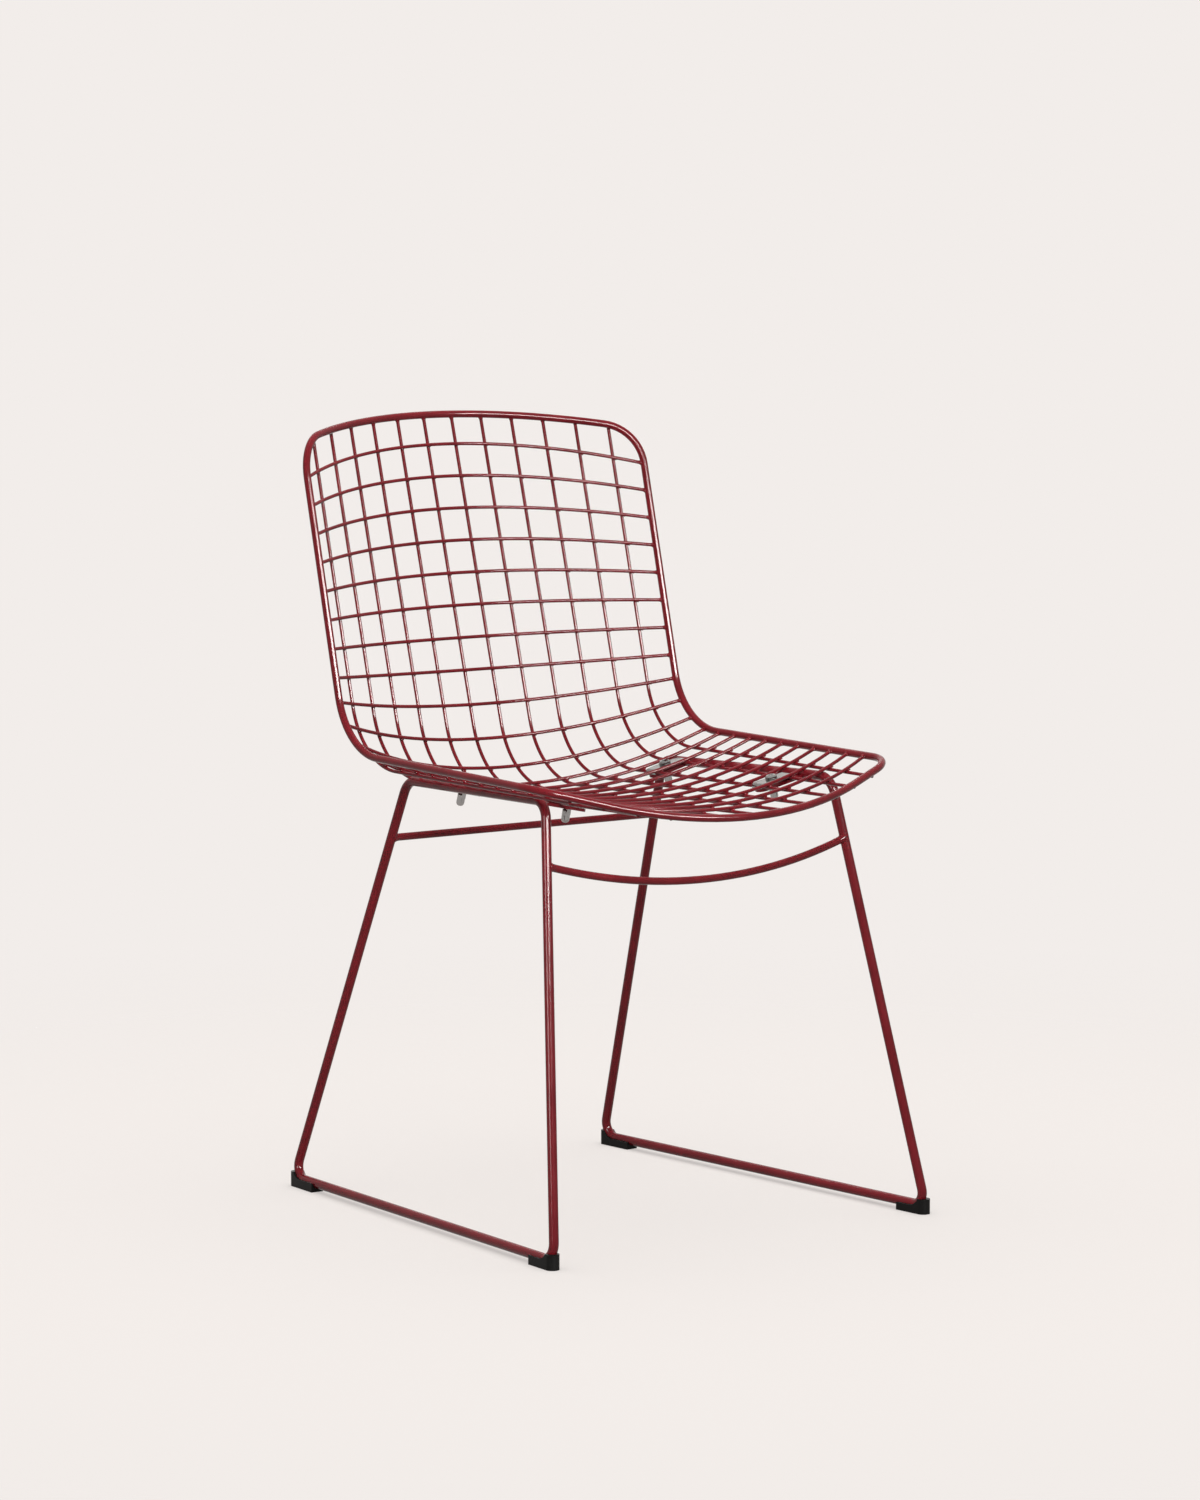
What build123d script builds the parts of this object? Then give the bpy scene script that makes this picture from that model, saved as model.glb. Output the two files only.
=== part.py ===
from build123d import *
import os
from math import cos, radians, sin, sqrt, tan

# Metal dining chair: a dished shell of welded wire, clamped to a sled base of bent rod.
# Millimetres, +Z up, floor at Z = 0. The chair faces -Y, and left and right are the sitter's (+X is left).
# Bent rods are given by their sharp corner points and bend radii, as a rod bender is set.

os.makedirs("parts", exist_ok=True)

# Rod and wire diameters
frame_rod = 9.5
crossbar_rod = 7.5
rim_rod = 7.5
shell_wire = 3.5

# Shell rim: sharp corners of its left half, and bend radii
rim_top_depth = 315.4
rim_top_height = 789.3
rim_top_straight = 4.7
back_half_width = 208.0
top_corner_depth = 194.5
top_corner_height = 757.3
top_corner_radius = 48.0
rim_bend_depth = 117.7
rim_bend_height = 453.4
rim_bend_radius = 73.0
seat_half_width = 214.0
front_corner_depth = -214.0
front_corner_height = 448.5
front_corner_radius = 40.0
rim_front_depth = -289.4
rim_front_height = 391.4
rim_front_radius = 374.0

# Dish of the shell: how far its middle lies behind and below the rim, and how its middle line bends
back_dish = 34.8
seat_dish = 47.8
middle_bend_radius = 78.0

# Wires that run from the back into the seat, spaced along the dish
long_wires_per_side = 6
long_wire_pitch = 34.5
weld_gap = 0.15

# Wires that run across: rows counted from the top, with their pitch on the middle line and on the rim
back_rows = 8
bend_rows = 5
seat_rows = 9
first_row_drop = 31.0
middle_back_pitch = 33.6
middle_bend_pitch = 36.0
middle_seat_pitch = 31.8
rim_back_pitch = 28.8
rim_bend_pitch = 24.4
rim_seat_pitch = 25.3
wire_end_run = 8.0

# Side frames: floor corners, rake of the legs, lean and toe of the whole loop, bend radii
front_corner_floor = -257.2
rear_corner_floor = 237.5
front_rake = 11.6
rear_rake = 20.1
frame_lean = 6.4
frame_toe = 3.6
floor_bend_radius = 14.0
top_bend_radius = 20.0
rail_wire_gap = 1.0
rail_touch_rows = (13, 20)

# Crossbars, hung below the top rails
front_bar_drop = 60.0
front_bar_sag = 25.7
front_bar_bow = 8.9
rear_bar_drop = 59.0

# Clamps: a welded tab below and a clip plate above two neighbouring wires, with a screw and a cap nut
tab_width = 16.0
tab_thickness = 3.0
clip_width = 15.0
clip_thickness = 1.5
clip_lip = 1.2
clip_overhang = 3.0
screw_diameter = 5.0
screw_clearance = 0.4
screw_head_diameter = 12.0
screw_head_height = 3.6
screw_head_chamfer = 1.4
recess_length = 6.4
recess_width = 1.4
recess_depth = 1.8
nut_across_flats = 8.0
nut_hex_height = 5.5
nut_dome_height = 7.5
nut_dome_radius = 3.6
thread_clearance = 0.1
clamp_rows_left = (13, 19)
clamp_rows_right = (14, 20)

# Feet: cradles under the floor corners, with their reach along the rails from the sharp corners
foot_sole = 3.75
foot_wall = 2.0
foot_end_height = 15.0
front_foot_reach = 35.5
rear_foot_reach = 46.0

rail_height = foot_sole + frame_rod / 2
layer_distance = shell_wire + weld_gap


def mirrored(point):
    return Vector(-point.X, point.Y, point.Z)


def bend_angle(before, corner, after):
    return (corner - before).get_angle(after - corner)


def tangent_run(before, corner, after, radius):
    # Length from a sharp corner to the start of its bend
    return radius * tan(radians(bend_angle(before, corner, after)) / 2)


# Shell rim: one closed loop of rod
rim_top = Vector(0, rim_top_depth, rim_top_height)
top_corner = Vector(back_half_width, top_corner_depth, top_corner_height)
rim_bend = Vector(back_half_width, rim_bend_depth, rim_bend_height)
front_corner = Vector(seat_half_width, front_corner_depth, front_corner_height)
rim_front = Vector(0, rim_front_depth, rim_front_height)
top_run = (top_corner - rim_top).length - tangent_run(rim_top, top_corner, rim_bend, top_corner_radius)
top_half_bend = radians(bend_angle(mirrored(top_corner), rim_top, top_corner)) / 2
rim_top_radius = (top_run - rim_top_straight) / tan(top_half_bend)
left_corners = [top_corner, rim_bend, front_corner]
left_radii = [top_corner_radius, rim_bend_radius, front_corner_radius]
rim_corners = [rim_top, *left_corners, rim_front, *[mirrored(corner) for corner in reversed(left_corners)]]
rim_radii = [rim_top_radius, *left_radii, rim_front_radius, *reversed(left_radii)]

with BuildPart() as shell_rim:
    with BuildLine() as rim_path:
        FilletPolyline(*rim_corners, radius=rim_radii, close=True)
    with BuildSketch(Plane(origin=rim_path.line @ 0, z_dir=rim_path.line % 0)):
        Circle(rim_rod / 2)
    sweep()
shell_rim.part.label = "shell_rim"
export_step(shell_rim.part, "parts/shell_rim.step")


def rim_crossings(x):
    # Points of the rim's axis at one distance from the mirror plane, the top one first
    cut = Plane.YZ.offset(x)
    points = [Vector(*vertex) for edge in rim_path.edges() for vertex in edge.intersect(cut) or []]
    return sorted(points, key=lambda point: -point.Z)


# Reference lines of the dish: the middle line, and the side line that follows the rim
rim_top_middle = rim_crossings(0)[0]
rim_front_middle = rim_crossings(0)[-1]
middle_bend = Vector(0, rim_bend_depth + back_dish, rim_bend_height - seat_dish)
middle_top = rim_top_middle - Vector(0, shell_wire, 0)
middle_front = rim_front_middle + Vector(0, 0, shell_wire)
middle_corners = [middle_top, middle_bend, middle_front]
side_corners = [top_corner, rim_bend, front_corner]

with BuildLine() as middle_line:
    FilletPolyline(*middle_corners, radius=middle_bend_radius)

side_start = top_corner + (rim_bend - top_corner).normalized() * tangent_run(
    rim_top, top_corner, rim_bend, top_corner_radius
)
with BuildLine() as side_line:
    FilletPolyline(side_start, rim_bend, front_corner, rim_front, radius=left_radii[1:])


def row_distances(first, back_pitch, bend_pitch, seat_pitch):
    pitches = [back_pitch] * (back_rows - 1) + [bend_pitch] * bend_rows + [seat_pitch] * seat_rows
    return [first + sum(pitches[:count]) for count in range(len(pitches) + 1)]


middle_rows = row_distances(first_row_drop, middle_back_pitch, middle_bend_pitch, middle_seat_pitch)
side_rows = row_distances(0, rim_back_pitch, rim_bend_pitch, rim_seat_pitch)

# Cross wires: circular arcs from rim to rim through the middle line, on the sitter's side, straight at their ends
cross_arcs = []
for on_middle, on_side in zip(middle_rows, side_rows):
    middle_point = middle_line.wire().position_at(on_middle, position_mode=PositionMode.LENGTH)
    side_point = side_line.wire().position_at(on_side, position_mode=PositionMode.LENGTH)
    cross_arcs.append(Edge.make_three_point_arc(mirrored(side_point), middle_point, side_point))

for row, arc in enumerate(cross_arcs, start=1):
    with BuildPart() as cross_wire:
        with BuildLine():
            end_share = wire_end_run / arc.length
            curve = ThreePointArc(arc @ end_share, arc @ 0.5, arc @ (1 - end_share))
            first_run = Line(curve @ 0 - (curve % 0) * wire_end_run, curve @ 0)
            Line(curve @ 1, curve @ 1 + (curve % 1) * wire_end_run)
        with BuildSketch(Plane(origin=first_run @ 0, z_dir=first_run % 0)):
            Circle(shell_wire / 2)
        sweep()
        add(shell_rim.part, mode=Mode.SUBTRACT)
    cross_wire.part.label = f"cross_wire_{row:02d}"
    export_step(cross_wire.part, f"parts/cross_wire_{row:02d}.step")

# Long wires: each lies in an upright plane, one wire thickness behind and below the cross wires
dish_depth = (middle_bend - Vector(0, rim_bend.Y, rim_bend.Z)).length
dish_radius = (back_half_width**2 + dish_depth**2) / (2 * dish_depth)


def long_wire_angle(number):
    return (number - 0.5) * long_wire_pitch / dish_radius


def long_wire_x(number):
    return dish_radius * sin(long_wire_angle(number))


def outward(start, end):
    along = (end - start).normalized()
    return Vector(0, -along.Z, along.Y)


def outset(corners, distance):
    # The same bent line, moved away from the sitter by one distance
    normals = [outward(start, end) for start, end in zip(corners, corners[1:])]
    moved = [corners[0] + normals[0] * distance]
    for corner, first, second in zip(corners[1:], normals, normals[1:]):
        moved.append(corner + (first + second) * (distance / (1 + first.dot(second))))
    return [*moved, corners[-1] + normals[-1] * distance]


def end_in_rim(start, towards, rim_point):
    # A wire's straight run ends inside the rim, short of the rim's axis
    along = (towards - start).normalized()
    return start + along * ((rim_point - start).dot(along) - shell_wire / 2)


def dish_point(middle, side, x):
    # Point at one distance from the mirror plane, on the arc from side to side through the middle
    sag = sqrt((side.Y - middle.Y) ** 2 + (side.Z - middle.Z) ** 2)
    radius = (side.X**2 + sag**2) / (2 * sag)
    share = (radius - sqrt(radius**2 - x**2)) / sag
    return Vector(x, middle.Y + (side.Y - middle.Y) * share, middle.Z + (side.Z - middle.Z) * share)


def long_wire_depth(number):
    # Distance below the cross wires, measured in the wire's own upright plane
    return layer_distance / cos(long_wire_angle(number))


def long_wire_corners(number):
    wire_x = long_wire_x(number)
    in_dish = [dish_point(middle, side, wire_x) for middle, side in zip(middle_corners, side_corners)]
    corners = outset(in_dish, long_wire_depth(number))
    crossings = rim_crossings(wire_x)
    corners[0] = end_in_rim(corners[1], corners[0], crossings[0])
    corners[-1] = end_in_rim(corners[-2], corners[-1], crossings[-1])
    return corners


def long_wire_radius(number):
    rim_share = dish_radius * (1 - cos(long_wire_angle(number))) / dish_depth
    dish_bend = middle_bend_radius + (rim_bend_radius - middle_bend_radius) * rim_share
    return dish_bend + long_wire_depth(number)


for number in range(1, long_wires_per_side + 1):
    for side_name, side_sign in (("left", 1), ("right", -1)):
        corners = [Vector(corner.X * side_sign, corner.Y, corner.Z) for corner in long_wire_corners(number)]
        with BuildPart() as long_wire:
            with BuildLine() as long_path:
                FilletPolyline(*corners, radius=long_wire_radius(number))
            with BuildSketch(Plane(origin=long_path.line @ 0, z_dir=long_path.line % 0)):
                Circle(shell_wire / 2)
            sweep()
            add(shell_rim.part, mode=Mode.SUBTRACT)
        long_wire.part.label = f"long_wire_{side_name}_{number}"
        export_step(long_wire.part, f"parts/long_wire_{side_name}_{number}.step")


# Side frames: closed loops of rod, each in one leaning plane, with the top rail against the cross wires
def cross_point(row, x):
    return Vector(*cross_arcs[row - 1].intersect(Plane.YZ.offset(x))[0])


rail_direction = Vector(-tan(radians(frame_toe)), 1, 0).normalized()


def rail_under(row, x):
    # The rail's axis where it touches a cross wire from below
    touch = cross_point(row, x)
    normal = rail_direction.cross(cross_arcs[row - 1].tangent_at(touch)).normalized()
    return touch - Vector(0, 0, ((frame_rod + shell_wire) / 2 + weld_gap) / abs(normal.Z))


rail_rear_x = long_wire_x(long_wires_per_side - 1) + (frame_rod + shell_wire) / 2 + rail_wire_gap
rear_touch_row, front_touch_row = rail_touch_rows
rear_touch = rail_under(rear_touch_row, rail_rear_x)


def rail_x(y):
    return rail_rear_x + tan(radians(frame_toe)) * (rear_touch.Y - y)


front_touch = rail_under(front_touch_row, rail_x(cross_point(front_touch_row, rail_rear_x).Y))
rail_slope = (front_touch.Z - rear_touch.Z) / (front_touch.Y - rear_touch.Y)


def rail_excess(row):
    # How far a rail between the two touches would stand above its place under another cross wire
    under = rail_under(row, rail_x(cross_point(row, rail_rear_x).Y))
    return rear_touch.Z + rail_slope * (under.Y - rear_touch.Y) - under.Z


rail_drop = max(rail_excess(row) for row in range(rear_touch_row, front_touch_row + 1))
rail_rear = rear_touch - Vector(0, 0, rail_drop)


def frame_x(y, z):
    toe = tan(radians(frame_toe)) * (rail_rear.Y - y)
    return rail_rear.X + toe + tan(radians(frame_lean)) * (rail_rear.Z - z)


def leg_top(floor_y, leg_slope):
    # Sharp corner between a leg and the top rail
    rail_at_zero = rail_rear.Z - rail_slope * rail_rear.Y
    y = (floor_y + leg_slope * (rail_at_zero - rail_height)) / (1 - leg_slope * rail_slope)
    return Vector(0, y, rail_at_zero + rail_slope * y)


def in_frame(point):
    return Vector(frame_x(point.Y, point.Z), point.Y, point.Z)


front_floor = in_frame(Vector(0, front_corner_floor, rail_height))
rear_floor = in_frame(Vector(0, rear_corner_floor, rail_height))
front_top = in_frame(leg_top(front_corner_floor, tan(radians(front_rake))))
rear_top = in_frame(leg_top(rear_corner_floor, -tan(radians(rear_rake))))

with BuildPart() as side_frame:
    with BuildLine() as frame_path:
        FilletPolyline(
            front_floor,
            front_top,
            rear_top,
            rear_floor,
            radius=[floor_bend_radius, top_bend_radius, top_bend_radius, floor_bend_radius],
            close=True,
        )
    with BuildSketch(Plane(origin=frame_path.line @ 0, z_dir=frame_path.line % 0)):
        Circle(frame_rod / 2)
    sweep()
side_frame.part.label = "side_frame_left"
export_step(side_frame.part, "parts/side_frame_left.step")

with BuildPart() as side_frame_right:
    add(side_frame.part)
    mirror(about=Plane.YZ, mode=Mode.REPLACE)
side_frame_right.part.label = "side_frame_right"
export_step(side_frame_right.part, "parts/side_frame_right.step")


# Crossbars: welded between the legs
def on_leg(floor, top, drop):
    return top + (floor - top) * (drop / (top.Z - floor.Z))


front_bar_end = on_leg(front_floor, front_top, front_bar_drop)
front_bar_middle = Vector(0, front_bar_end.Y - front_bar_bow, front_bar_end.Z - front_bar_sag)
with BuildPart() as front_crossbar:
    with BuildLine() as front_bar_path:
        ThreePointArc(mirrored(front_bar_end), front_bar_middle, front_bar_end)
    with BuildSketch(Plane(origin=front_bar_path.line @ 0, z_dir=front_bar_path.line % 0)):
        Circle(crossbar_rod / 2)
    sweep()
    add([side_frame.part, side_frame_right.part], mode=Mode.SUBTRACT)
front_crossbar.part.label = "front_crossbar"
export_step(front_crossbar.part, "parts/front_crossbar.step")

rear_bar_end = on_leg(rear_floor, rear_top, rear_bar_drop)
with BuildPart() as rear_crossbar:
    with BuildSketch(Plane.YZ):
        with Locations((rear_bar_end.Y, rear_bar_end.Z)):
            Circle(crossbar_rod / 2)
    extrude(amount=rear_bar_end.X, both=True)
    add([side_frame.part, side_frame_right.part], mode=Mode.SUBTRACT)
rear_crossbar.part.label = "rear_crossbar"
export_step(rear_crossbar.part, "parts/rear_crossbar.step")

# Clamps: each holds the two long wires next to a top rail, between two cross wires
inner_wire = long_wires_per_side - 2
outer_wire = long_wires_per_side - 1


def in_seat(number, y):
    # Point and direction of a long wire's axis at one depth in the seat
    with BuildLine() as path:
        FilletPolyline(*long_wire_corners(number), radius=long_wire_radius(number))
    crossings = [
        (Vector(*vertex), edge) for edge in path.edges() for vertex in edge.intersect(Plane.XZ.offset(-y)) or []
    ]
    point, edge = min(crossings, key=lambda crossing: crossing[0].Z)
    along = edge.tangent_at(point)
    return point, along if along.Y < 0 else -along


def clamp_plane(row):
    # Between two long wires, halfway from one cross wire to the next: X across the wires, Z out of the seat
    wires = (inner_wire, outer_wire)
    crossings = [cross_point(each, long_wire_x(wire)) for each in (row, row + 1) for wire in wires]
    y = sum(crossing.Y for crossing in crossings) / len(crossings)
    inner_point, inner_along = in_seat(inner_wire, y)
    outer_point, outer_along = in_seat(outer_wire, y)
    ahead = (inner_along + outer_along).normalized()
    across = outer_point - inner_point
    square = across - ahead * across.dot(ahead)
    middle = (inner_point + outer_point) * 0.5
    return Plane(origin=middle, x_dir=square, z_dir=ahead.cross(square)), square.length


clip_level = shell_wire / 2 + weld_gap
clip_top = clip_level + clip_thickness
tab_level = -shell_wire / 2 - weld_gap
tab_bottom = tab_level - tab_thickness
hole_diameter = screw_diameter + screw_clearance
screw_end = tab_bottom - nut_hex_height

screws = []
cap_nuts = []
for side_name, clamp_rows in (("left", clamp_rows_left), ("right", clamp_rows_right)):
    for place, row in zip(("rear", "front"), clamp_rows):
        plane, wire_spacing = clamp_plane(row)
        rail_distance = frame_x(plane.origin.Y, plane.origin.Z) - plane.origin.X

        # Tab: a strap with a round end that carries both wires, coped against the rail
        clip_reach = wire_spacing / 2
        round_end = tab_width / 2 - clip_reach - shell_wire
        with BuildPart() as tab:
            with BuildSketch(plane.offset(tab_bottom)):
                with Locations((round_end, 0)):
                    Circle(tab_width / 2)
                with Locations(((rail_distance + round_end) / 2, 0)):
                    Rectangle(rail_distance - round_end, tab_width)
                Circle(hole_diameter / 2, mode=Mode.SUBTRACT)
            extrude(amount=tab_thickness)
            add(side_frame.part, mode=Mode.SUBTRACT)

        # Clip plate: a strap that bridges the two wires, with its inner end turned down beside one
        lip_x = clip_reach + clip_level
        with BuildPart() as clip:
            with BuildSketch(Plane(plane.origin, x_dir=plane.x_dir, z_dir=-plane.y_dir)):
                with BuildLine():
                    Line((-lip_x, -clip_lip), (-lip_x, 0))
                    CenterArc((-clip_reach, 0), clip_level, 180, -90)
                    Line((-clip_reach, clip_level), (clip_reach + clip_overhang, clip_level))
                    offset(amount=clip_thickness, side=Side.LEFT)
                make_face()
            extrude(amount=clip_width / 2, both=True)
            with Locations(plane.offset(clip_top)):
                Hole(hole_diameter / 2)

        with BuildPart() as screw:
            with BuildSketch(plane.offset(screw_end)):
                Circle(screw_diameter / 2)
            extrude(amount=clip_top - screw_end)
            with BuildSketch(plane.offset(clip_top)):
                Circle(screw_head_diameter / 2)
            extrude(amount=screw_head_height)
            head_top = screw.faces().sort_by(Axis(plane.origin, plane.z_dir))[-1]
            chamfer(head_top.edges(), screw_head_chamfer)
            with BuildSketch(plane.offset(clip_top + screw_head_height)):
                Rectangle(recess_length, recess_width)
                Rectangle(recess_width, recess_length)
            extrude(amount=-recess_depth, mode=Mode.SUBTRACT)

        with BuildPart() as nut:
            with BuildSketch(plane.offset(tab_bottom)):
                RegularPolygon(nut_across_flats / 2, 6, major_radius=False)
            extrude(amount=-nut_hex_height)
            with BuildSketch(plane.offset(tab_bottom - nut_hex_height)):
                Circle(nut_across_flats / 2)
            extrude(amount=-nut_dome_height)
            dome_end = nut.faces().sort_by(Axis(plane.origin, plane.z_dir))[0]
            fillet(dome_end.edges(), nut_dome_radius)
            with BuildSketch(plane.offset(tab_bottom)):
                Circle((screw_diameter + thread_clearance) / 2)
            extrude(amount=-nut_hex_height - thread_clearance, mode=Mode.SUBTRACT)

        pieces = [tab.part, clip.part, screw.part, nut.part]
        if side_name == "right":
            pieces = [mirror(piece, about=Plane.YZ) for piece in pieces]
        tab_piece, clip_piece, screw_piece, nut_piece = pieces
        tab_piece.label = f"mounting_tab_{place}_{side_name}"
        export_step(tab_piece, f"parts/mounting_tab_{place}_{side_name}.step")
        clip_piece.label = f"clip_plate_{place}_{side_name}"
        export_step(clip_piece, f"parts/clip_plate_{place}_{side_name}.step")
        screws.append(screw_piece)
        cap_nuts.append(nut_piece)

with BuildPart() as clamp_screws:
    add(screws)
clamp_screws.part.label = "clamp_screws"
export_step(clamp_screws.part, "parts/clamp_screws.step")

with BuildPart() as clamp_cap_nuts:
    add(cap_nuts)
clamp_cap_nuts.part.label = "clamp_cap_nuts"
export_step(clamp_cap_nuts.part, "parts/clamp_cap_nuts.step")

# Feet: each a block with a round outer end, cut to a cradle under the rod's floor corner
foot_width = frame_rod + 2 * foot_wall
for place, floor, top, far_floor, foot_reach in (
    ("front", front_floor, front_top, rear_floor, front_foot_reach),
    ("rear", rear_floor, rear_top, front_floor, rear_foot_reach),
):
    along_rail = (far_floor - floor).normalized()
    up_leg = (top - floor).normalized()
    normal = along_rail.cross(up_leg).normalized()
    plane = Plane(origin=floor, x_dir=along_rail, z_dir=normal)
    leg = plane.to_local_coords(floor + up_leg)
    leg_end = leg * (2 * foot_end_height + floor_bend_radius)
    axis_out = floor_bend_radius * ((1 + leg.X) / leg.Y - 1)
    open_end = foot_reach + foot_width
    with BuildPart() as foot:
        with BuildSketch(Plane(origin=(floor.X, floor.Y, 0), x_dir=along_rail, z_dir=(0, 0, 1))):
            with Locations((axis_out, 0)):
                Circle(foot_width / 2)
            with Locations(((axis_out + foot_reach) / 2, 0)):
                Rectangle(foot_reach - axis_out, foot_width)
        extrude(amount=foot_end_height)
        with BuildSketch(plane):
            with BuildLine():
                FilletPolyline((open_end, 0), (0, 0), leg_end, radius=floor_bend_radius)
                Line(leg_end, (open_end, leg_end.Y))
                Line((open_end, leg_end.Y), (open_end, 0))
            make_face()
        extrude(amount=foot_width, both=True, mode=Mode.SUBTRACT)
        add(side_frame.part, mode=Mode.SUBTRACT)
    foot.part.label = f"foot_{place}_left"
    export_step(foot.part, f"parts/foot_{place}_left.step")
    with BuildPart() as foot_right:
        add(foot.part)
        mirror(about=Plane.YZ, mode=Mode.REPLACE)
    foot_right.part.label = f"foot_{place}_right"
    export_step(foot_right.part, f"parts/foot_{place}_right.step")
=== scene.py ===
import math

import bpy
import numpy as np
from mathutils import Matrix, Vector
from mathutils.bvhtree import BVHTree


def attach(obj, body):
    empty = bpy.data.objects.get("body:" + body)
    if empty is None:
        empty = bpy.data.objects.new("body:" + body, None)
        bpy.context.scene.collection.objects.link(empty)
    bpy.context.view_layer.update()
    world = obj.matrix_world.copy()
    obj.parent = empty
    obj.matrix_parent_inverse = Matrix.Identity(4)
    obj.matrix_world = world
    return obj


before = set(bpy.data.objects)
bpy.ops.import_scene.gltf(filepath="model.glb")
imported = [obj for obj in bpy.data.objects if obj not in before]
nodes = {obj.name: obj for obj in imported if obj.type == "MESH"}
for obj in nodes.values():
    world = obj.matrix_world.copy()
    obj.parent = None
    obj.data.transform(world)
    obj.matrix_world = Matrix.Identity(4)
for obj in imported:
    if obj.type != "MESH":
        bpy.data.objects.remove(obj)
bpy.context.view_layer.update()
mm = 0.001

scene = bpy.context.scene
scene.view_settings.view_transform = "Standard"


# Camera, as the photograph was taken
camera = {
    "place": (-3.1018, -4.2608, 1.0457),
    "looks": (0.5868, 0.8020, -0.1118),
    "lens": 128.32,
    "sensor": 36.0,
    "clipEnd": 200,
}
cameraData = bpy.data.cameras.new("studioCamera")
cameraData.sensor_width = camera["sensor"]
cameraData.lens = camera["lens"]
cameraData.clip_end = camera["clipEnd"]
cameraObject = bpy.data.objects.new("studioCamera", cameraData)
cameraObject.location = camera["place"]
cameraObject.rotation_mode = "QUATERNION"
cameraObject.rotation_quaternion = Vector(camera["looks"]).to_track_quat("-Z", "Y")
scene.collection.objects.link(cameraObject)
scene.camera = cameraObject
print("camera placed")


# Small helpers for node trees
def addNode(tree, kind, x, y, values=None, **settings):
    node = tree.nodes.new(kind)
    node.location = (x, y)
    for key, value in settings.items():
        setattr(node, key, value)
    for socket, value in (values or {}).items():
        node.inputs[socket].default_value = value
    return node


def startGroup(name, inputs, outputs):
    group = bpy.data.node_groups.new(name, "ShaderNodeTree")
    for label, kind, value in inputs:
        socket = group.interface.new_socket(name=label, in_out="INPUT", socket_type=kind)
        if value is not None:
            socket.default_value = value
    for label, kind in outputs:
        group.interface.new_socket(name=label, in_out="OUTPUT", socket_type=kind)
    return group, addNode(group, "NodeGroupInput", -900, 0), addNode(group, "NodeGroupOutput", 700, 0)


def startTree(owner, outputKind):
    owner.use_nodes = True
    tree = owner.node_tree
    tree.nodes.clear()
    return tree, addNode(tree, outputKind, 900, 0)


def startMaterial(name):
    material = bpy.data.materials.new(name)
    tree, output = startTree(material, "ShaderNodeOutputMaterial")
    surface = addNode(tree, "ShaderNodeBsdfPrincipled", 560, 0)
    tree.links.new(surface.outputs["BSDF"], output.inputs["Surface"])
    place = addNode(tree, "ShaderNodeTexCoord", -1200, 0)
    return material, tree, surface, place.outputs["Object"]


def useGroup(tree, group, place, x, y, values):
    node = addNode(tree, "ShaderNodeGroup", x, y, values, node_tree=group)
    tree.links.new(place, node.inputs["Place"])
    return node


# Each colour is a fixed one or another node's output; a colour mix has them at inputs 6 and 7
def mixColours(tree, share, first, second, x, y):
    mix = addNode(tree, "ShaderNodeMix", x, y, data_type="RGBA")
    tree.links.new(share, mix.inputs[0])
    for socket, colour in ((6, first), (7, second)):
        if isinstance(colour, tuple):
            mix.inputs[socket].default_value = colour
        else:
            tree.links.new(colour, mix.inputs[socket])
    return mix.outputs[2]


# Skin of a sprayed or moulded surface: a fine ripple for bump, and a slow drift of gloss
def makeSkinRipple():
    group, given, made = startGroup(
        "skinRipple",
        [("Place", "NodeSocketVector", None), ("Ripple Scale", "NodeSocketFloat", 500.0),
         ("Grain Scale", "NodeSocketFloat", 2600.0), ("Grain Share", "NodeSocketFloat", 0.25)],
        [("Height", "NodeSocketFloat"), ("Drift", "NodeSocketFloat")],
    )
    link = group.links.new
    ripple = addNode(group, "ShaderNodeTexNoise", -620, 220, {"Detail": 1.5, "Roughness": 0.45})
    grain = addNode(group, "ShaderNodeTexNoise", -620, -40, {"Detail": 2.0, "Roughness": 0.6})
    drift = addNode(group, "ShaderNodeTexNoise", -620, -300, {
        "Scale": 24.0, "Detail": 3.0, "Roughness": 0.55})
    for noise in (ripple, grain, drift):
        link(given.outputs["Place"], noise.inputs["Vector"])
    link(given.outputs["Ripple Scale"], ripple.inputs["Scale"])
    link(given.outputs["Grain Scale"], grain.inputs["Scale"])
    height = addNode(group, "ShaderNodeMix", -200, 160, data_type="FLOAT")
    link(given.outputs["Grain Share"], height.inputs[0])
    link(ripple.outputs[0], height.inputs[2])
    link(grain.outputs[0], height.inputs[3])
    spread = addNode(group, "ShaderNodeMapRange", -200, -260, {"From Min": 0.32, "From Max": 0.68})
    link(drift.outputs[0], spread.inputs["Value"])
    link(height.outputs[0], made.inputs["Height"])
    link(spread.outputs["Result"], made.inputs["Drift"])
    return group


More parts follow.
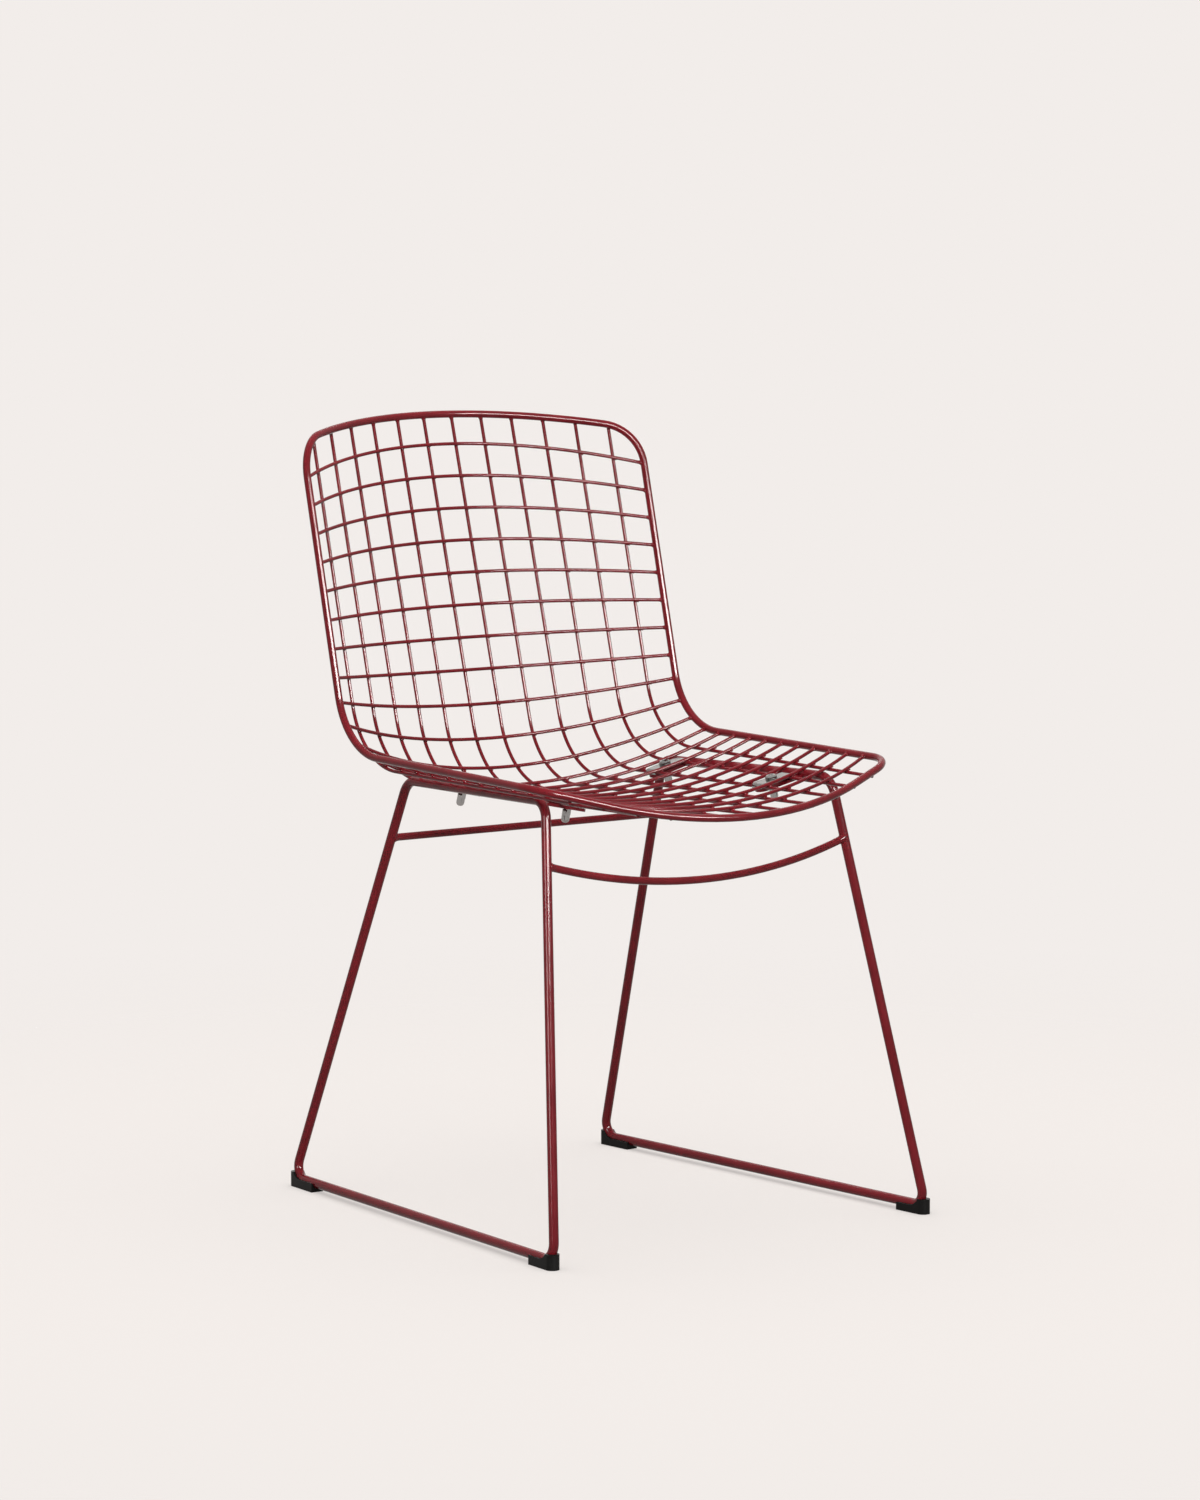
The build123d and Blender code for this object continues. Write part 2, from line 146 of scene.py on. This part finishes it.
# Dust: settles on what faces up, in loose specks
def makeSettledDust():
    group, given, made = startGroup(
        "settledDust",
        [("Place", "NodeSocketVector", None), ("Amount", "NodeSocketFloat", 0.2)],
        [("Mask", "NodeSocketFloat")],
    )
    link = group.links.new
    facing = addNode(group, "ShaderNodeNewGeometry", -860, -240)
    upward = addNode(group, "ShaderNodeSeparateXYZ", -640, -240)
    link(facing.outputs["Normal"], upward.inputs[0])
    level = addNode(group, "ShaderNodeMapRange", -420, -240, {"From Min": 0.35, "From Max": 1.0})
    link(upward.outputs["Z"], level.inputs["Value"])
    specks = addNode(group, "ShaderNodeTexNoise", -640, 120, {
        "Scale": 900.0, "Detail": 4.0, "Roughness": 0.7})
    patches = addNode(group, "ShaderNodeTexNoise", -640, -60, {"Scale": 14.0, "Detail": 2.0})
    for noise in (specks, patches):
        link(given.outputs["Place"], noise.inputs["Vector"])
    speckle = addNode(group, "ShaderNodeMapRange", -420, 120, {"From Min": 0.52, "From Max": 0.78})
    link(specks.outputs[0], speckle.inputs["Value"])
    scattered = addNode(group, "ShaderNodeMath", -160, 60, operation="MULTIPLY")
    link(speckle.outputs["Result"], scattered.inputs[0])
    link(patches.outputs[0], scattered.inputs[1])
    settled = addNode(group, "ShaderNodeMath", 60, -40, operation="MULTIPLY")
    link(scattered.outputs[0], settled.inputs[0])
    link(level.outputs["Result"], settled.inputs[1])
    amount = addNode(group, "ShaderNodeMath", 280, -40, operation="MULTIPLY", use_clamp=True)
    link(settled.outputs[0], amount.inputs[0])
    link(given.outputs["Amount"], amount.inputs[1])
    link(amount.outputs[0], made.inputs["Mask"])
    return group


# Hairline scuffs: thin broken lines left by handling
def makeHairScuffs():
    group, given, made = startGroup(
        "hairScuffs",
        [("Place", "NodeSocketVector", None), ("Scale", "NodeSocketFloat", 90.0),
         ("Width", "NodeSocketFloat", 0.04)],
        [("Mask", "NodeSocketFloat")],
    )
    link = group.links.new
    warp = addNode(group, "ShaderNodeTexNoise", -860, 200, {"Scale": 30.0, "Detail": 1.0})
    link(given.outputs["Place"], warp.inputs["Vector"])
    shifted = addNode(group, "ShaderNodeMix", -640, 120, {0: 0.04}, data_type="VECTOR")
    link(given.outputs["Place"], shifted.inputs[4])
    link(warp.outputs[1], shifted.inputs[5])
    cells = addNode(group, "ShaderNodeTexVoronoi", -420, 120, feature="DISTANCE_TO_EDGE")
    link(shifted.outputs[1], cells.inputs["Vector"])
    link(given.outputs["Scale"], cells.inputs["Scale"])
    thin = addNode(group, "ShaderNodeMath", -180, 120, operation="LESS_THAN")
    link(cells.outputs["Distance"], thin.inputs[0])
    link(given.outputs["Width"], thin.inputs[1])
    breaks = addNode(group, "ShaderNodeTexNoise", -420, -160, {"Scale": 60.0, "Detail": 2.0})
    link(given.outputs["Place"], breaks.inputs["Vector"])
    broken = addNode(group, "ShaderNodeMapRange", -180, -160, {"From Min": 0.5, "From Max": 0.62})
    link(breaks.outputs[0], broken.inputs["Value"])
    kept = addNode(group, "ShaderNodeMath", 80, 40, operation="MULTIPLY")
    link(thin.outputs[0], kept.inputs[0])
    link(broken.outputs["Result"], kept.inputs[1])
    link(kept.outputs[0], made.inputs["Mask"])
    return group


skinRipple = makeSkinRipple()
settledDust = makeSettledDust()
hairScuffs = makeHairScuffs()
print("shared surface groups made")


# What every finish of the chair has: a skin, a gloss that drifts, and the skin's bump
def addSkin(tree, place, look):
    return useGroup(tree, skinRipple, place, -900, 160, {
        "Ripple Scale": look["rippleScale"],
        "Grain Scale": look["grainScale"],
        "Grain Share": look["grainShare"],
    })


def addGloss(tree, skin, look):
    low, high = look["gloss"]
    gloss = addNode(tree, "ShaderNodeMapRange", -480, -40, {"To Min": low, "To Max": high})
    tree.links.new(skin.outputs["Drift"], gloss.inputs["Value"])
    return gloss.outputs["Result"]


def addBump(tree, skin, surface, look):
    bump = addNode(tree, "ShaderNodeBump", 240, -240, {
        "Strength": look["bumpStrength"], "Distance": look["bumpHeight"]})
    tree.links.new(skin.outputs["Height"], bump.inputs["Height"])
    tree.links.new(bump.outputs["Normal"], surface.inputs["Normal"])


# Burgundy powder coat of the wires, rods and tabs
powderCoat = {
    "thickColour": (0.195, 0.0095, 0.0160, 1),
    "thinColour": (0.250, 0.0135, 0.0215, 1),
    "dustColour": (0.300, 0.190, 0.180, 1),
    "dust": 0.15,
    "gloss": (0.10, 0.16),
    "rippleScale": 420.0,
    "grainScale": 2400.0,
    "grainShare": 0.18,
    "bumpHeight": 0.05 * mm,
    "bumpStrength": 0.5,
    "specular": 0.14,
}


def makePowderCoat(look):
    material, tree, surface, place = startMaterial("burgundyPowderCoat")
    link = tree.links.new
    skin = addSkin(tree, place, look)
    dust = useGroup(tree, settledDust, place, -900, -120, {"Amount": look["dust"]})
    coat = mixColours(tree, skin.outputs["Drift"], look["thickColour"], look["thinColour"], -480, 240)
    dusty = mixColours(tree, dust.outputs["Mask"], coat, look["dustColour"], -200, 240)
    dull = addNode(tree, "ShaderNodeMath", -200, -40, operation="ADD", use_clamp=True)
    link(addGloss(tree, skin, look), dull.inputs[0])
    link(dust.outputs["Mask"], dull.inputs[1])
    link(dusty, surface.inputs["Base Color"])
    link(dull.outputs[0], surface.inputs["Roughness"])
    addBump(tree, skin, surface, look)
    surface.inputs["Specular IOR Level"].default_value = look["specular"]
    return material


# Bright plating of the clip plates, screws and nuts
brightPlating = {
    "cleanColour": (0.30, 0.295, 0.29, 1),
    "dullColour": (0.14, 0.137, 0.134, 1),
    "gloss": (0.05, 0.12),
    "rippleScale": 240.0,
    "grainScale": 3200.0,
    "grainShare": 0.3,
    "scuffScale": 260.0,
    "scuffWidth": 0.05,
    "bumpHeight": 0.05 * mm,
    "bumpStrength": 0.35,
}


def makeBrightPlating(look):
    material, tree, surface, place = startMaterial("brightPlating")
    link = tree.links.new
    skin = addSkin(tree, place, look)
    scuffs = useGroup(tree, hairScuffs, place, -900, -360, {
        "Scale": look["scuffScale"], "Width": look["scuffWidth"]})
    scuffed = mixColours(tree, scuffs.outputs["Mask"], look["cleanColour"], look["dullColour"], -480, 240)
    link(scuffed, surface.inputs["Base Color"])
    link(addGloss(tree, skin, look), surface.inputs["Roughness"])
    addBump(tree, skin, surface, look)
    surface.inputs["Metallic"].default_value = 1.0
    return material


# Black plastic of the feet, with a fine moulded grain
footPlastic = {
    "deepColour": (0.0042, 0.0040, 0.0038, 1),
    "wornColour": (0.0120, 0.0116, 0.0112, 1),
    "dustColour": (0.0600, 0.0560, 0.0520, 1),
    "dust": 0.20,
    "gloss": (0.34, 0.50),
    "rippleScale": 1500.0,
    "grainScale": 4200.0,
    "grainShare": 0.4,
    "scuffScale": 150.0,
    "scuffWidth": 0.03,
    "bumpHeight": 0.12 * mm,
    "bumpStrength": 0.5,
    "specular": 0.08,
}


def makeFootPlastic(look):
    material, tree, surface, place = startMaterial("blackFootPlastic")
    link = tree.links.new
    skin = addSkin(tree, place, look)
    dust = useGroup(tree, settledDust, place, -900, -120, {"Amount": look["dust"]})
    scuffs = useGroup(tree, hairScuffs, place, -900, -360, {
        "Scale": look["scuffScale"], "Width": look["scuffWidth"]})
    worn = mixColours(tree, scuffs.outputs["Mask"], look["deepColour"], look["wornColour"], -480, 240)
    dusty = mixColours(tree, dust.outputs["Mask"], worn, look["dustColour"], -200, 240)
    link(dusty, surface.inputs["Base Color"])
    link(addGloss(tree, skin, look), surface.inputs["Roughness"])
    addBump(tree, skin, surface, look)
    surface.inputs["Specular IOR Level"].default_value = look["specular"]
    return material


coatMaterial = makePowderCoat(powderCoat)
platingMaterial = makeBrightPlating(brightPlating)
plasticMaterial = makeFootPlastic(footPlastic)
finishes = {"clip_plate": platingMaterial, "clamp": platingMaterial, "foot": plasticMaterial}
for name, node in nodes.items():
    finish = next((finishes[start] for start in finishes if name.startswith(start)), coatMaterial)
    node.data.materials.clear()
    node.data.materials.append(finish)
print("finishes set on", len(nodes), "nodes")


# Edges: made pieces have a small round on every edge, rods are smooth all round
edgeRounds = {  # width in mm, segments
    "foot": (0.55, 3),
    "clip_plate": (0.25, 2),
    "mounting_tab": (0.35, 2),
    "clamp_screws": (0.16, 2),
    "clamp_cap_nuts": (0.20, 2),
}
edgeLimits = {
    "join": 0.005 * mm,
    "flatAngle": math.radians(1.5),
    "sharpAngle": math.radians(32.0),
}


def joinPoints(node):
    weld = node.modifiers.new("joined", "WELD")
    weld.merge_threshold = edgeLimits["join"]


def evenShade(node):
    shade = node.modifiers.new("shade", "WEIGHTED_NORMAL")
    shade.keep_sharp = False


def roundEdges(node, width, segments):
    joinPoints(node)
    flat = node.modifiers.new("flat", "DECIMATE")
    flat.decimate_type = "DISSOLVE"
    flat.angle_limit = edgeLimits["flatAngle"]
    edge = node.modifiers.new("edge", "BEVEL")
    edge.width = width * mm
    edge.segments = segments
    edge.limit_method = "ANGLE"
    edge.angle_limit = edgeLimits["sharpAngle"]
    edge.miter_outer = "MITER_ARC"
    evenShade(node)


def smoothRod(node):
    joinPoints(node)
    split = node.modifiers.new("ends", "EDGE_SPLIT")
    split.split_angle = edgeLimits["sharpAngle"]
    split.use_edge_sharp = False
    evenShade(node)


for name, node in nodes.items():
    kind = next((start for start in edgeRounds if name.startswith(start)), None)
    if kind:
        roundEdges(node, *edgeRounds[kind])
    else:
        smoothRod(node)
print("edges rounded")


# Welds: where the wires cross, where they end in the rim, and on the base
def meshOf(name):
    mesh = nodes[name].data
    points = np.empty(len(mesh.vertices) * 3)
    mesh.vertices.foreach_get("co", points)
    pairs = np.empty(len(mesh.edges) * 2, int)
    mesh.edges.foreach_get("vertices", pairs)
    return points.reshape(-1, 3), pairs.reshape(-1, 2)


def treeOf(name):
    mesh = nodes[name].data
    return BVHTree.FromPolygons([v.co for v in mesh.vertices], [p.vertices for p in mesh.polygons])


# Middle of a rod where a plane across the given axis cuts it
def rodMiddle(rod, axis, level):
    points, pairs = rod
    start, end = points[pairs[:, 0]], points[pairs[:, 1]]
    across = (start[:, axis] - level) * (end[:, axis] - level) < 0
    start, end = start[across], end[across]
    share = (level - start[:, axis]) / (end[:, axis] - start[:, axis])
    cut = start + (end - start) * share[:, None]
    return Vector((cut.min(0) + cut.max(0)) / 2)


# Rings become one closed skin, with a face over each end
def joinRings(rings, points, faces):
    start = len(points)
    count = len(rings[0])
    last = start + (len(rings) - 1) * count
    for ring in range(len(rings) - 1):
        for step in range(count):
            a = start + ring * count + step
            b = start + ring * count + (step + 1) % count
            faces.append((a, b, b + count, a + count))
    faces.append(tuple(start + step for step in reversed(range(count))))
    faces.append(tuple(last + step for step in range(count)))
    points.extend(point for ring in rings for point in ring)


def turnsOf(count):
    return [math.tau * step / count for step in range(count)]


def addPiece(name, points, faces, material):
    mesh = bpy.data.meshes.new(name)
    mesh.from_pydata(points, [], faces)
    mesh.shade_smooth()
    mesh.materials.append(material)
    piece = bpy.data.objects.new(name, mesh)
    scene.collection.objects.link(piece)
    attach(piece, "root")


wireRadius = 1.75 * mm
barRadius = 3.75 * mm
longNames = sorted(name for name in nodes if name.startswith("long_wire"))
crossNames = sorted(name for name in nodes if name.startswith("cross_wire"))
longRods = {name: meshOf(name) for name in longNames}
crossRods = {name: meshOf(name) for name in crossNames}
longTrees = {name: treeOf(name) for name in longNames}
rimTree = treeOf("shell_rim")
weldSeed = 11
chance = np.random.default_rng(weldSeed)

# Spot welds: metal fills the gap between two crossing wires and squeezes out into the four corners
spotWeld = {
    "spread": 1.75 * mm,
    "corner": 0.95 * mm,
    "height": 1.05 * mm,
    "halfGap": 0.07 * mm,
    "lookAlong": 2 * mm,
    "levels": (-0.98, -0.72, -0.30, 0.30, 0.72, 0.98),
    "segments": 20,
    "variation": 0.14,
    "lean": 0.25,
}


def makeSpotWelds(weld):
    points, faces = [], []
    for crossName in crossNames:
        cross = crossRods[crossName]
        for longName in longNames:
            x = longRods[longName][0][:, 0].mean()
            onCross = rodMiddle(cross, 0, x)
            along = rodMiddle(cross, 0, x + weld["lookAlong"]) - rodMiddle(cross, 0, x - weld["lookAlong"])
            along.normalize()
            onLong = longTrees[longName].find_nearest(onCross)[0]
            out = onLong - onCross
            out = (out - along * out.dot(along)).normalized()
            side = out.cross(along)
            middle = onCross + out * (wireRadius + weld["halfGap"])
            size = 1 + weld["variation"] * chance.uniform(-1, 1)
            lean = chance.uniform(-weld["lean"], weld["lean"])
            rings = []
            for level in weld["levels"]:
                width = math.sqrt(1 - level * level)
                ring = []
                for turn in turnsOf(weld["segments"]):
                    corner = weld["corner"] * math.sin(2 * turn) ** 2 * (1 + lean * math.cos(turn))
                    reach = weld["spread"] + corner
                    flat = (along * math.cos(turn) + side * math.sin(turn)) * reach * width
                    ring.append(middle + (flat + out * level * weld["height"]) * size)
                rings.append(ring)
            joinRings(rings, points, faces)
    addPiece("spot_welds", points, faces, coatMaterial)
    return len(crossNames) * len(longNames)


print("spot welds:", makeSpotWelds(spotWeld))

# Fillet welds: a small flared collar where a rod ends on another
filletWeld = {
    "segments": 24,
    "rise": (-1.0, -0.62, -0.34, -0.14, 0.02, 0.30),
    "flare": (0.03, 0.10, 0.24, 0.46, 0.78, 1.00),
    "variation": 0.10,
    "waves": (3, 5),  # bulges around the collar
    "probe": 8 * mm,
    "deepest": 3 * mm,
    "openDepth": 2 * mm,
}
rimWeld = {
    "rodRadius": wireRadius,
    "reach": 2.2 * mm,
    "spread": 1.25 * mm,
    "start": 14 * mm,
    "aim": 9 * mm,
}
barWeld = {
    "rodRadius": barRadius,
    "reach": 3.4 * mm,
    "spread": 1.5 * mm,
    "start": 16 * mm,
    "aim": 10 * mm,
}


# A point on the rod a little before its tip, and the way from there to the tip
def rodEnd(rod, axis, tip, sign, weld):
    start = rodMiddle(rod, axis, tip - sign * weld["start"])
    return start, (rodMiddle(rod, axis, tip - sign * weld["aim"]) - start).normalized()


def addCollar(points, faces, rodStart, along, weld, tree):
    hit = tree.ray_cast(rodStart, along)[0]
    if hit is None:
        return 0
    first = along.orthogonal().normalized()
    second = along.cross(first)
    wobble = chance.uniform(0, math.tau, len(filletWeld["waves"]))
    rings = []
    for rise, flare in zip(filletWeld["rise"], filletWeld["flare"]):
        ring = []
        for turn in turnsOf(filletWeld["segments"]):
            waves = [math.sin(count * turn + shift) for count, shift in zip(filletWeld["waves"], wobble)]
            bumpy = 1 + filletWeld["variation"] * sum(waves) / len(waves)
            outward = first * math.cos(turn) + second * math.sin(turn)
            radius = weld["rodRadius"] + weld["spread"] * flare * bumpy
            lower = tree.ray_cast(hit + outward * radius - along * filletWeld["probe"], along)[0]
            depth = (lower - hit).dot(along) if lower is not None else filletWeld["openDepth"]
            sunk = weld["reach"] * rise * bumpy + min(depth, filletWeld["deepest"]) * flare
            ring.append(hit + outward * radius + along * sunk)
        rings.append(ring)
    joinRings(rings, points, faces)
    return 1


def makeRimWelds(weld):
    points, faces = [], []
    made = 0
    for rod in crossRods.values():
        for sign in (-1, 1):
            tip = sign * np.abs(rod[0][:, 0]).max()
            made += addCollar(points, faces, *rodEnd(rod, 0, tip, sign, weld), weld, rimTree)
    for rod in longRods.values():
        top, front = rod[0][:, 2].max(), rod[0][:, 1].min()
        made += addCollar(points, faces, *rodEnd(rod, 2, top, 1, weld), weld, rimTree)
        made += addCollar(points, faces, *rodEnd(rod, 1, front, -1, weld), weld, rimTree)
    addPiece("rim_welds", points, faces, coatMaterial)
    return made


def makeBarWelds(weld):
    points, faces = [], []
    made = 0
    for name in ("front_crossbar", "rear_crossbar"):
        rod = meshOf(name)
        for sign, side in ((1, "left"), (-1, "right")):
            tip = sign * np.abs(rod[0][:, 0]).max()
            frameTree = treeOf("side_frame_" + side)
            made += addCollar(points, faces, *rodEnd(rod, 0, tip, sign, weld), weld, frameTree)
    addPiece("bar_welds", points, faces, coatMaterial)
    return made


print("rim welds:", makeRimWelds(rimWeld))
print("bar welds:", makeBarWelds(barWeld))


# Studio: a pale sheet of floor, the same pale all round, and soft boxes
studio = {
    "paleColour": (0.8879, 0.8469, 0.8228, 1),
    "floorColour": (0.36, 0.343, 0.333, 1),
    "floorBounce": (0.125, 0.119, 0.116, 1),  # what the floor throws back on the chair
    "floorGlow": 0.47,
    "floorRadius": 1.9,
    "floorFade": (0.35, 0.95),  # shares of the radius between which the floor fades out
    "floorSegments": 96,
    "skyColour": (1.0, 0.985, 0.97, 1),
    "skyStrength": 0.12,
    "lampColour": (1.0, 0.985, 0.97),
}


# 1 where the camera, a reflection or glass sees the floor or the world, 0 where they light the chair
def addShown(tree):
    rays = addNode(tree, "ShaderNodeLightPath", -700, 300)
    seen = addNode(tree, "ShaderNodeMath", -520, 300, operation="MAXIMUM")
    shown = addNode(tree, "ShaderNodeMath", -360, 300, operation="MAXIMUM")
    tree.links.new(rays.outputs["Is Camera Ray"], seen.inputs[0])
    tree.links.new(rays.outputs["Is Glossy Ray"], seen.inputs[1])
    tree.links.new(seen.outputs[0], shown.inputs[0])
    tree.links.new(rays.outputs["Is Transmission Ray"], shown.inputs[1])
    return shown.outputs[0]


def makeStudioWorld(look):
    world = bpy.data.worlds.new("studioWorld")
    scene.world = world
    tree, output = startTree(world, "ShaderNodeOutputWorld")
    link = tree.links.new
    sky = addNode(tree, "ShaderNodeBackground", 0, 0, {
        "Color": look["skyColour"], "Strength": look["skyStrength"]})
    pale = addNode(tree, "ShaderNodeBackground", 0, -160, {"Color": look["paleColour"], "Strength": 1.0})
    mix = addNode(tree, "ShaderNodeMixShader", 300, 0)
    link(addShown(tree), mix.inputs[0])
    link(sky.outputs[0], mix.inputs[1])
    link(pale.outputs[0], mix.inputs[2])
    link(mix.outputs[0], output.inputs["Surface"])


def makeFloorMaterial(look):
    material = bpy.data.materials.new("studioFloor")
    tree, output = startTree(material, "ShaderNodeOutputMaterial")
    link = tree.links.new
    shown = addShown(tree)
    matt = addNode(tree, "ShaderNodeBsdfDiffuse", 0, 100)
    link(mixColours(tree, shown, look["floorBounce"], look["floorColour"], -160, 100), matt.inputs["Color"])
    glow = addNode(tree, "ShaderNodeEmission", 0, -60, {"Color": look["paleColour"]})
    strength = addNode(tree, "ShaderNodeMath", -160, 300, {1: look["floorGlow"]}, operation="MULTIPLY")
    link(shown, strength.inputs[0])
    link(strength.outputs[0], glow.inputs["Strength"])
    lit = addNode(tree, "ShaderNodeAddShader", 300, 60)
    link(matt.outputs[0], lit.inputs[0])
    link(glow.outputs[0], lit.inputs[1])
    place = addNode(tree, "ShaderNodeTexCoord", -600, -300)
    distance = addNode(tree, "ShaderNodeVectorMath", -360, -300, operation="LENGTH")
    link(place.outputs["Object"], distance.inputs[0])
    fadeStart, fadeEnd = (look["floorRadius"] * share for share in look["floorFade"])
    edge = addNode(tree, "ShaderNodeMapRange", -160, -300, {"From Min": fadeStart, "From Max": fadeEnd},
                   interpolation_type="SMOOTHSTEP")
    link(distance.outputs["Value"], edge.inputs["Value"])
    clear = addNode(tree, "ShaderNodeBsdfTransparent", 300, -160)
    faded = addNode(tree, "ShaderNodeMixShader", 600, 0)
    link(edge.outputs["Result"], faded.inputs[0])
    link(lit.outputs[0], faded.inputs[1])
    link(clear.outputs[0], faded.inputs[2])
    link(faded.outputs[0], output.inputs["Surface"])
    return material


def makeFloor(look):
    turns = turnsOf(look["floorSegments"])
    rim = [Vector((math.cos(turn), math.sin(turn), 0)) * look["floorRadius"] for turn in turns]
    mesh = bpy.data.meshes.new("studio_floor")
    mesh.from_pydata(rim, [], [tuple(range(len(rim)))])
    mesh.materials.append(makeFloorMaterial(look))
    floor = bpy.data.objects.new("studio_floor", mesh)
    scene.collection.objects.link(floor)
    return floor


# One wide box lights the floor alone, three give the chair its matt light, and strips show only in its gloss.
# A strip spares the nodes whose names start as given, and every lamp of the chair spares the floor.
softBoxes = {
    "floorBox": {
        "place": (0, 0, 2.60), "aim": (0, 0, 0),
        "size": (6.0, 6.0), "power": 230, "reach": "floor", "spares": (),
    },
    "topBox": {
        "place": (0.35, 0.35, 3.00), "aim": (0, 0, 0.40),
        "size": (1.4, 1.4), "power": 34, "reach": "chair", "spares": (),
    },
    "frontBox": {
        "place": (-1.20, -1.85, 1.70), "aim": (0, 0, 0.45),
        "size": (1.2, 1.2), "power": 48, "reach": "chair", "spares": (),
    },
    "backBox": {
        "place": (1.55, 2.25, 2.10), "aim": (0, 0, 0.45),
        "size": (2.2, 0.9), "power": 14, "reach": "chair", "spares": (),
    },
    "backStrip": {
        "place": (1.55, 2.25, 2.10), "aim": (0, 0, 0.45),
        "size": (2.0, 0.7), "power": 150, "reach": "gloss",
        "spares": ("rear_crossbar",),
    },
    "sideStrip": {
        "place": (-2.60, -0.70, 1.05), "aim": (0, 0, 0.40),
        "size": (1.0, 0.9), "power": 56, "reach": "gloss",
        "spares": ("clamp", "clip_plate", "shell_rim", "long_wire", "cross_wire"),
    },
    "frontStrip": {
        "place": (0.00, -2.90, 1.55), "aim": (0, 0.1, 0.60),
        "size": (2.6, 0.7), "power": 430, "reach": "gloss",
        "spares": ("clamp", "clip_plate"),
    },
    "shellStrip": {
        "place": (0.00, -2.90, 1.55), "aim": (0, 0.1, 0.60),
        "size": (3.4, 0.7), "power": 700, "reach": "gloss",
        "spares": ("clamp", "clip_plate", "side_frame", "front_crossbar", "rear_crossbar",
                   "mounting_tab", "foot"),
    },
}


def makeSoftBox(name, look, floor):
    light = bpy.data.lights.new(name, "AREA")
    light.shape = "RECTANGLE"
    light.size, light.size_y = look["size"]
    light.energy = look["power"]
    light.color = studio["lampColour"]
    lamp = bpy.data.objects.new(name, light)
    lamp.location = look["place"]
    lamp.rotation_mode = "QUATERNION"
    lamp.rotation_quaternion = (Vector(look["aim"]) - Vector(look["place"])).to_track_quat("-Z", "Y")
    lamp.visible_camera = False
    lamp.visible_diffuse = look["reach"] != "gloss"
    lamp.visible_glossy = look["reach"] == "gloss"
    scene.collection.objects.link(lamp)
    named = bpy.data.collections.new(name + "Reach")
    named.objects.link(floor)
    for nodeName, node in nodes.items():
        if nodeName.startswith(look["spares"]):
            named.objects.link(node)
    for member in named.collection_objects:
        member.light_linking.link_state = "INCLUDE" if look["reach"] == "floor" else "EXCLUDE"
    lamp.light_linking.receiver_collection = named


makeStudioWorld(studio)
studioFloor = makeFloor(studio)
for boxName, boxLook in softBoxes.items():
    makeSoftBox(boxName, boxLook, studioFloor)
print("studio lit")
